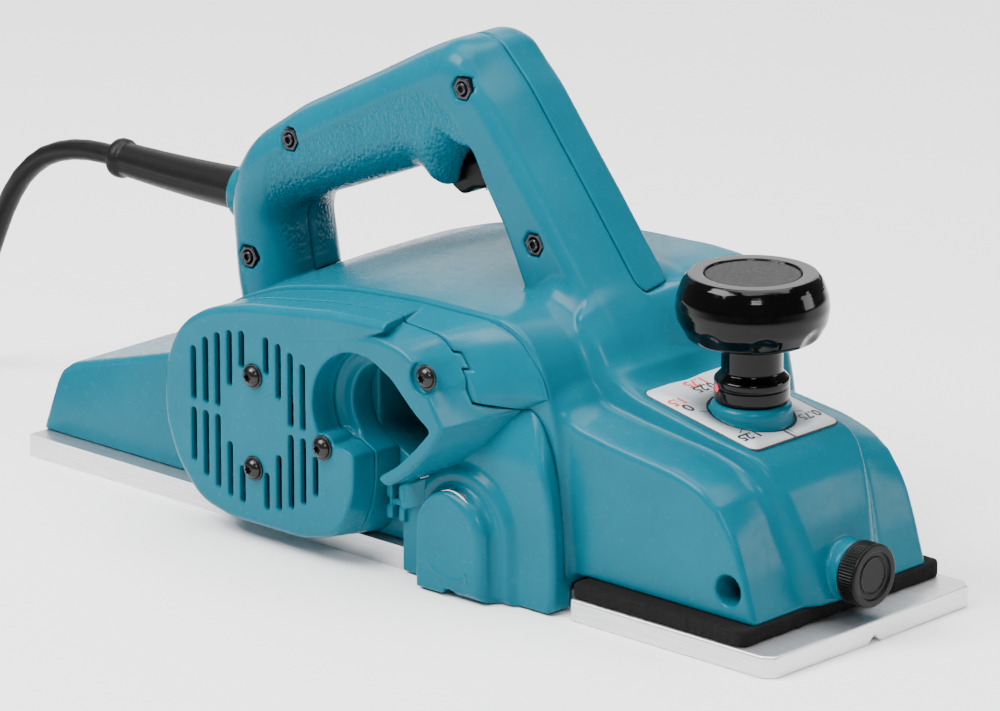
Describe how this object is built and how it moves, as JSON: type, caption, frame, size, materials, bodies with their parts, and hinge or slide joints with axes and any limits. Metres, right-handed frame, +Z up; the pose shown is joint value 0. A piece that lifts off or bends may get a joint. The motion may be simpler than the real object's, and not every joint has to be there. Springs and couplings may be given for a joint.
{
  "type": "portable electric planer",
  "caption": "Hand-held electric planer: teal closed-loop handle on a motor and cutter housing, two-part aluminium sole, ball depth knob, side chip outlet.",
  "frame": {"origin": "middle of the sole's underside, on the centre line, at half the length of the whole sole", "axes": "+X forward along the cut, +Y to the operator's left, +Z up"},
  "size_m": [0.5625, 0.2205, 0.1875],
  "materials": {
    "teal_shell": "glossy, slightly crowned moulding",
    "machined_aluminium": "brushed along its length",
    "black_foam": "open cell",
    "scale_sheet": "satin printed sheet",
    "gloss_black": "polished",
    "red_mark": "satin",
    "black_plastic": "satin",
    "black_rubber": "matt",
    "plated_steel": "zinc plated",
    "black_steel": "black oxide",
    "blued_steel": "darkened",
    "spring_steel": "drawn",
    "drum_alloy": "cast and turned",
    "blade_steel": "ground",
    "clamp_steel": "satin",
    "core_steel": "laminated",
    "copper": "enamelled copper",
    "brass": "satin",
    "carbon": "matt",
    "capacitor_case": "dipped"
  },
  "bodies": {
    "housing": {"rear_sole": "machined_aluminium", "foam_seal": "black_foam", "main_housing": "teal_shell", "handle_cover": "teal_shell", "side_bracket": "teal_shell", "chip_cover": "teal_shell", "drum_guard": "teal_shell", "belt_cover": "teal_shell", "scale_plate": "scale_sheet", "scale_screws": "plated_steel", "shoe_spring_right": "spring_steel", "shoe_spring_left": "spring_steel", "drum_bearings": "plated_steel", "drive_belt": "black_rubber", "motor_bearings": "plated_steel", "stator": "core_steel", "field_coils": "copper", "brush_holders": "brass", "carbon_brushes": "carbon", "brush_caps": "black_plastic", "switch_body": "black_plastic", "trigger_spring": "spring_steel", "lock_spring": "spring_steel", "capacitor": "capacitor_case", "handle_screws": "blued_steel", "handle_nuts": "blued_steel", "cover_screws": "black_steel", "cover_washers": "black_steel", "belt_cover_screws": "black_steel", "sole_screws": "plated_steel", "cord_clamp": "black_plastic", "cord_guard": "black_rubber", "cord_lead": "black_rubber", "cord_coil": "black_rubber", "cord_tail": "black_rubber", "cord_tie": "black_rubber", "cord_plug": "black_rubber"},
    "shoe": {"front_shoe": "machined_aluminium", "shoe_pins": "plated_steel"},
    "depth_knob": {"depth_knob": "gloss_black", "knob_cap": "gloss_black", "pointer_dot": "red_mark", "depth_screw": "plated_steel"},
    "guide_clamp": {"guide_knob": "black_plastic", "guide_screw": "plated_steel"},
    "trigger": {"trigger": "black_plastic"},
    "lock_button": {"lock_button": "black_plastic"},
    "drum": {"cutter_drum": "drum_alloy", "blades": "blade_steel", "blade_clamps": "clamp_steel", "drum_bolts": "black_steel", "drum_pulley": "clamp_steel"},
    "armature": {"armature_shaft": "plated_steel", "armature_core": "core_steel", "armature_winding": "copper", "commutator": "copper", "cooling_fan": "black_plastic", "motor_pulley": "clamp_steel"}
  },
  "joints": [
    {"name": "knob_turn", "type": "hinge", "parent": "housing", "child": "depth_knob", "pos_m": [0.1275, 0, 0.1], "axis": [0, 0, -1], "range_deg": [0, 480]},
    {"name": "shoe_lift", "type": "slide", "parent": "housing", "child": "shoe", "axis": [0, 0, 1], "range_m": [0, 0.002], "deforming": ["foam_seal", "shoe_spring_right", "shoe_spring_left"]},
    {"name": "guide_clamp_turn", "type": "hinge", "parent": "housing", "child": "guide_clamp", "pos_m": [0.18, 0, 0.0245], "axis": [1, 0, 0], "range_deg": [-360, 360]},
    {"name": "trigger_pull", "type": "slide", "parent": "housing", "child": "trigger", "axis": [-0.3907, 0, 0.9205], "range_m": [0, 0.005], "stiffness_N_per_m": 800, "springref_m": -0.004, "deforming": ["trigger_spring"]},
    {"name": "lock_press", "type": "slide", "parent": "housing", "child": "lock_button", "axis": [0, -1, 0], "range_m": [0, 0.004], "stiffness_N_per_m": 500, "springref_m": -0.002, "deforming": ["lock_spring"]},
    {"name": "drum_spin", "type": "hinge", "parent": "housing", "child": "drum", "pos_m": [0.044, 0, 0.0291], "axis": [0, 1, 0], "continuous": true},
    {"name": "armature_spin", "type": "hinge", "parent": "housing", "child": "armature", "pos_m": [-0.047, 0, 0.048], "axis": [0, 1, 0], "continuous": true}
  ],
  "couplings": [
    {"joint": "knob_turn", "follows": "shoe_lift", "rad_per_m": 4188.8},
    {"joint": "armature_spin", "follows": "drum_spin", "ratio": 1.4167}
  ]
}
